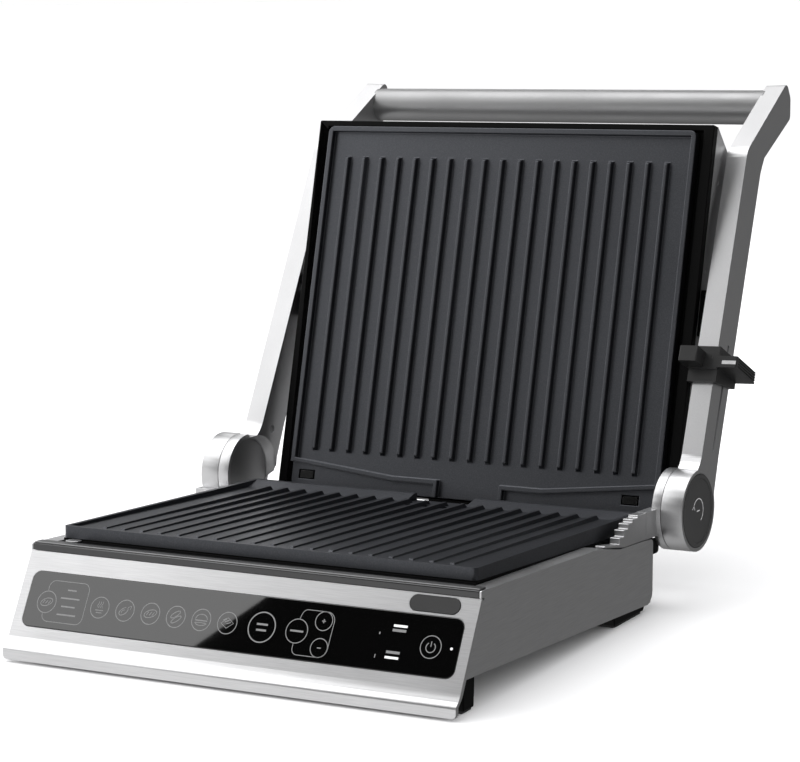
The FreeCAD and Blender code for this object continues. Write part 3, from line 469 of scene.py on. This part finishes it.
def cutlet(ink, x, down):
    """A flat cutlet with grill lines."""
    ink.stroke(arc(x, down, 4.7, 0, 360, 0.52, 18), 0.5, closed=True)
    for shift in (-2.2, 0, 2.2):
        ink.stroke([(x + shift - 0.7, down + 1.1), (x + shift + 0.7, down - 1.1)], 0.5)


def links(ink, x, down):
    """Two sausages."""
    for shift in (-1.5, 1.7):
        ink.stroke(arc(x + shift * 0.4, down + shift, 4.0, 0, 360, 0.34, 35), 0.5, closed=True)


def bun(ink, x, down):
    """A filled bun seen from the side."""
    ink.stroke(arc(x, down - 0.4, 4.4, 0, 180, 0.75), 0.5)
    ink.bar(x, down + 0.4, 9.2, 0.7)
    ink.bar(x, down + 1.9, 8.4, 0.5)
    ink.stroke(arc(x, down + 1.9, 4.2, 180, 180, 0.42), 0.5)


def toast(ink, x, down):
    """A pressed sandwich with grill lines."""
    slice_edge = [(x - 4.6, down + 0.4), (x, down - 3.4), (x + 4.6, down - 0.2), (x, down + 3.4)]
    ink.stroke(slice_edge, 0.5, closed=True)
    for shift in (-1.5, 0, 1.5):
        ink.stroke([(x - 2 + shift, down - 0.6 + shift * 0.7),
                    (x + 1.2 + shift, down - 1.9 + shift * 0.9)], 0.5)


def settings_frame(ink):
    """The doneness key and its rounded frame of four settings."""
    left, right, top, bottom, bend = SETTINGS.values()
    ink.ring(*DONENESS_KEY, 7.4)
    cutlet(ink, *DONENESS_KEY)
    ink.stroke([(left, 12.4)] + arc(left + bend, top + bend, bend, 180, -90)
               + arc(right - bend, top + bend, bend, 90, -90)
               + arc(right - bend, bottom - bend, bend, 0, -90)
               + arc(left + bend, bottom - bend, bend, 270, -90) + [(left, 28.4)], 0.45)
    for step, length in enumerate(SETTING_BARS):
        ink.bar(-128.5, 11 + 5.6 * step, length, 1.0)


def manual_keys(ink):
    """Start, manual, more and less, with the line that joins the last three."""
    x, down = START_KEY
    ink.ring(x, down, 9.8, 0.8)
    ink.bar(x, down - 1.9, 8.2, 1.3)
    ink.bar(x, down + 1.9, 7.4, 1.3)
    ink.ring(*MANUAL_KEY, 7.8)
    ink.bar(*MANUAL_KEY, 9.6, 1.2)
    x, down = MORE_KEY
    ink.ring(x, down, STEP_KEY_R)
    ink.bar(x, down, 2.6, 0.7)
    ink.stroke([(x, down - 1.3), (x, down + 1.3)], 0.7)
    ink.ring(*LESS_KEY, STEP_KEY_R)
    ink.bar(*LESS_KEY, 2.8, 0.7)
    ink.stroke([(47.6, 11.9), (48.3, 9.3)] + arc(52.6, 9.4, 4.1, 170, -80)
               + [(58, 5.3), (65.2, 5.3)] + arc(66.6, 11.4, STEP_KEY_R, 80, -80)
               + [(72.4, 20)] + arc(66.2, 28.7, STEP_KEY_R, 0, -90)
               + [(58, 34.8)] + arc(51, 30.8, 4, 270, -90) + [(47, 27.5)], 0.45)


def power_and_readouts(ink):
    """The power key, and the unlit bars of the two readouts."""
    ink.ring(POWER_KEY_X, ROW - 0.4, KEY_R)
    ink.stroke(arc(POWER_KEY_X, ROW - 0.1, 3.2, 125, 290), 0.6)
    ink.stroke([(POWER_KEY_X, ROW - 4.0), (POWER_KEY_X, ROW - 0.6)], 0.6)
    ink.bar(106.1, 14.6, 0.8, 1.5)
    ink.bar(106.3, 29.2, 0.6, 2.4)
    ink.bar(119.3, 11.8, 9.6, 1.7)
    ink.bar(118.2, 25.8, 9.6, 1.7)


def make_panel():
    """The printing on the touch glass, and its lit bars and dot, painted pale to stand in for
    their glow.
    """
    glass = Face("touch_glass", GLASS_OUT)
    ink = Print("panel_print", glass, "base", PANEL_INK, "mark_white")
    settings_frame(ink)
    for x, drawing in zip(FOOD_KEYS, (steam, fillet, cutlet, links, bun, toast)):
        ink.ring(x, ROW, KEY_R)
        drawing(ink, x, ROW)
    manual_keys(ink)
    power_and_readouts(ink)
    ink.done()
    # The lit bars and dot are pale paint standing in for the readouts' glow, with no lamp in them
    lit = Print("panel_painted_glow", glass, "base", GLOW_PAINT, "mark_white")
    lit.bar(119.5, 8.9, 9.6, 1.5)
    lit.bar(118.0, 29.2, 9.6, 1.5)
    lit.ring(157.4, ROW - 0.8, 0.45, 0.88)
    lit.done()


def make_button_mark():
    """A small open arc with an arrow head on the release button, centred on the hinge axis."""
    disc = Face("release_button", Vector((1, 0, 0)))
    down = (disc.origin - HINGE).dot(disc.up) / MM
    side = (HINGE - disc.origin).dot(disc.across) / MM
    ink = Print("button_print", disc, "button", FINISHES["mark_white"], "mark_white")
    ink.stroke(arc(side, down, 8.5, 150, -210), 0.7)
    arrow = [(side - 9.9, down - 2.6), (side - 7.4, down - 4.4), (side - 5.5, down - 1.6)]
    ink.stroke(arrow, 0.7)
    ink.bar(side, down, 5, 0.8)
    ink.done()


make_panel()
make_button_mark()


# ---------------------------------------------------------------- stage, light and camera
FLOOR_HALF = 12.0

# Strengths of the world: for matt surfaces, and in reflections by the way they look
DAYLIGHT = 1.34
FRONT_LEFT = (-0.8, -0.6, 0)
ROOM_RIGHT = 0.14
ROOM_LEFT = 0.8
ROOM_MIDDLE = 0.02
ROOM_TOP = 0.8
LOW_EDGE = (0.05, 0.35)                          # sine of the elevation where the low room fades
HIGH_EDGE = (0.66, 0.95)                         # and where the ceiling comes in

# The front softbox: its glare's edge across and down the glass, in millimetres, its distance
# from the glass along the mirrored line of sight, and its width, height and radiance
GLARE_EDGE = ((16.7, 2.6), (-25.9, 38.9))
BOX_AWAY = 2.2
FRONT_BOX = (1.3, 1.7, 1.35)

# The other softboxes: place, width and height in metres, radiance, and the direction of the height
SOFTBOXES = {
    "top_box": ((-0.8, 0.2, 2.05), 2.4, 1.7, 1.6, (0, 1, 0)),
    "left_box": ((-2.3, 0.1, 0.75), 1.5, 1.4, 2.2, (0, 0, 1)),
    "right_box": ((2.4, -0.5, 1.3), 0.5, 1.4, 0.6, (0, 0, 1)),
    "rear_box": ((-0.9, 2.2, 1.3), 1.8, 0.9, 1.2, (0, 0, 1)),
}
AIM = Vector((0, 0, 0.15))

# The eye and the hinge axis in the leaning frame of the base, in metres; angles in degrees
EYE_IN_BASE = Vector((0.92244, -1.42154, 0.37899))
HINGE_IN_BASE = Vector((0, 0.2834, 0.0731))
CAMERA_YAW = 29.66
CAMERA_PITCH = 6.66
CAMERA_LENS = 121.35                             # for a film 36 mm wide
FILM_WIDTH = 36
SIGHT = 50                                       # farthest the camera sees, in metres


def make_floor():
    """A wide sheet of pale paper under the grill, left out of reflections."""
    level = CAD_BOX[0][2]
    corners = [(-1, -1), (1, -1), (1, 1), (-1, 1)]
    mesh = bpy.data.meshes.new("floor")
    mesh.from_pydata([(x * FLOOR_HALF, y * FLOOR_HALF, level) for x, y in corners],
                     [], [(0, 1, 2, 3)])
    floor = bpy.data.objects.new("floor", mesh)
    bpy.context.collection.objects.link(floor)
    material = new_material("floor_paper", grey(0.86), roughness=0.7)
    set_colour(material, noise(material, 3, detail=2), grey(0.85), grey(0.87))
    mesh.materials.append(material)
    floor.visible_glossy = False


def make_world():
    """White for the eye, bright for matt surfaces; reflections see a dark band over a lit room."""
    world = bpy.data.worlds.new("studio")
    bpy.context.scene.world = world
    world.use_nodes = True
    world.cycles.sampling_method = "NONE"
    tree = world.node_tree
    background = tree.nodes["Background"]
    background.inputs["Color"].default_value = (1, 1, 1, 1)
    path = tree.nodes.new("ShaderNodeLightPath")
    place = tree.nodes.new("ShaderNodeTexCoord")
    split = tree.nodes.new("ShaderNodeSeparateXYZ")
    tree.links.new(place.outputs["Generated"], split.inputs["Vector"])

    def fill(node, socket, source):
        if isinstance(source, (int, float)):
            node.inputs[socket].default_value = source
        else:
            tree.links.new(source, node.inputs[socket])

    def ramped(value, low, high, start, end):
        node = tree.nodes.new("ShaderNodeMapRange")
        node.interpolation_type = "SMOOTHSTEP"
        for socket, source in zip(("From Min", "From Max", "To Min", "To Max"),
                                  (low, high, start, end)):
            fill(node, socket, source)
        tree.links.new(value, node.inputs["Value"])
        return node.outputs["Result"]

    def choose(factor, otherwise, value):
        mix = tree.nodes.new("ShaderNodeMix")
        tree.links.new(factor, mix.inputs["Factor"])
        fill(mix, "A", otherwise)
        fill(mix, "B", value)
        return mix.outputs["Result"]

    facing = tree.nodes.new("ShaderNodeVectorMath")
    facing.operation = "DOT_PRODUCT"
    facing.inputs[1].default_value = FRONT_LEFT
    tree.links.new(place.outputs["Generated"], facing.inputs[0])
    low_room = ramped(facing.outputs["Value"], -0.2, 1.0, ROOM_RIGHT, ROOM_LEFT)
    middle = ramped(split.outputs["Z"], *LOW_EDGE, low_room, ROOM_MIDDLE)
    room = ramped(split.outputs["Z"], *HIGH_EDGE, middle, ROOM_TOP)
    shiny = choose(path.outputs["Is Glossy Ray"], DAYLIGHT, room)
    seen = choose(path.outputs["Is Camera Ray"], shiny, 1.0)
    tree.links.new(seen, background.inputs["Strength"])


def softbox(name, place, target, width, height, radiance, edge):
    """A rectangular light that faces a target; edge gives the direction of its height."""
    light = bpy.data.lights.new(name, "AREA")
    light.shape = "RECTANGLE"
    light.size = width
    light.size_y = height
    light.energy = radiance * math.pi * width * height
    lamp = bpy.data.objects.new(name, light)
    bpy.context.collection.objects.link(lamp)
    back = (Vector(place) - Vector(target)).normalized()
    side = Vector(edge).cross(back).normalized()
    up = back.cross(side)
    turn = Matrix((side, up, back)).transposed().to_4x4()
    lamp.matrix_world = Matrix.Translation(place) @ turn
    lamp.visible_camera = False


def make_lights(eye):
    """Soft lamps; the front one shows in the left part of the glass, cut off at a slant."""
    glass = Face("touch_glass", GLASS_OUT)
    centre = glass.at(0, ROW)
    behind = eye - glass.normal * (2 * (eye - centre).dot(glass.normal))
    ends = []
    for x, down in GLARE_EDGE:
        point = glass.at(x, down)
        ray = (point - behind).normalized()
        ends.append(point + ray * BOX_AWAY)
    edge = (ends[0] - ends[1]).normalized()
    middle = (ends[0] + ends[1]) / 2
    back = (middle - centre).normalized()
    side = edge.cross(back).normalized()
    place = middle - side * FRONT_BOX[0] / 2
    softbox("front_box", place, place - back, *FRONT_BOX, edge)
    for name, (place, width, height, radiance, edge) in SOFTBOXES.items():
        softbox(name, place, AIM, width, height, radiance, edge)


def make_camera():
    """The camera at the photograph's angle; returns the place of the eye."""
    lean = math.atan2(-LEVEL.z, LEVEL.y)
    tilt = Matrix.Rotation(-lean, 3, "X")
    eye = HINGE + tilt @ (EYE_IN_BASE - HINGE_IN_BASE)
    yaw = math.radians(CAMERA_YAW)
    pitch = math.radians(CAMERA_PITCH)
    ahead = Vector((-math.sin(yaw) * math.cos(pitch), math.cos(yaw) * math.cos(pitch),
                    -math.sin(pitch)))
    right = Vector((math.cos(yaw), math.sin(yaw), 0))
    above = right.cross(ahead)
    turn = Matrix((tilt @ right, tilt @ above, tilt @ -ahead)).transposed()
    data = bpy.data.cameras.new("camera")
    data.lens = CAMERA_LENS
    data.sensor_width = FILM_WIDTH
    data.clip_end = SIGHT
    camera = bpy.data.objects.new("camera", data)
    bpy.context.collection.objects.link(camera)
    camera.matrix_world = Matrix.Translation(eye) @ turn.to_4x4()
    bpy.context.scene.camera = camera
    return eye


make_floor()
make_world()
make_lights(make_camera())
bpy.context.scene.view_settings.view_transform = "Standard"

# Bring the scene's transforms up to date
bpy.context.view_layer.update()
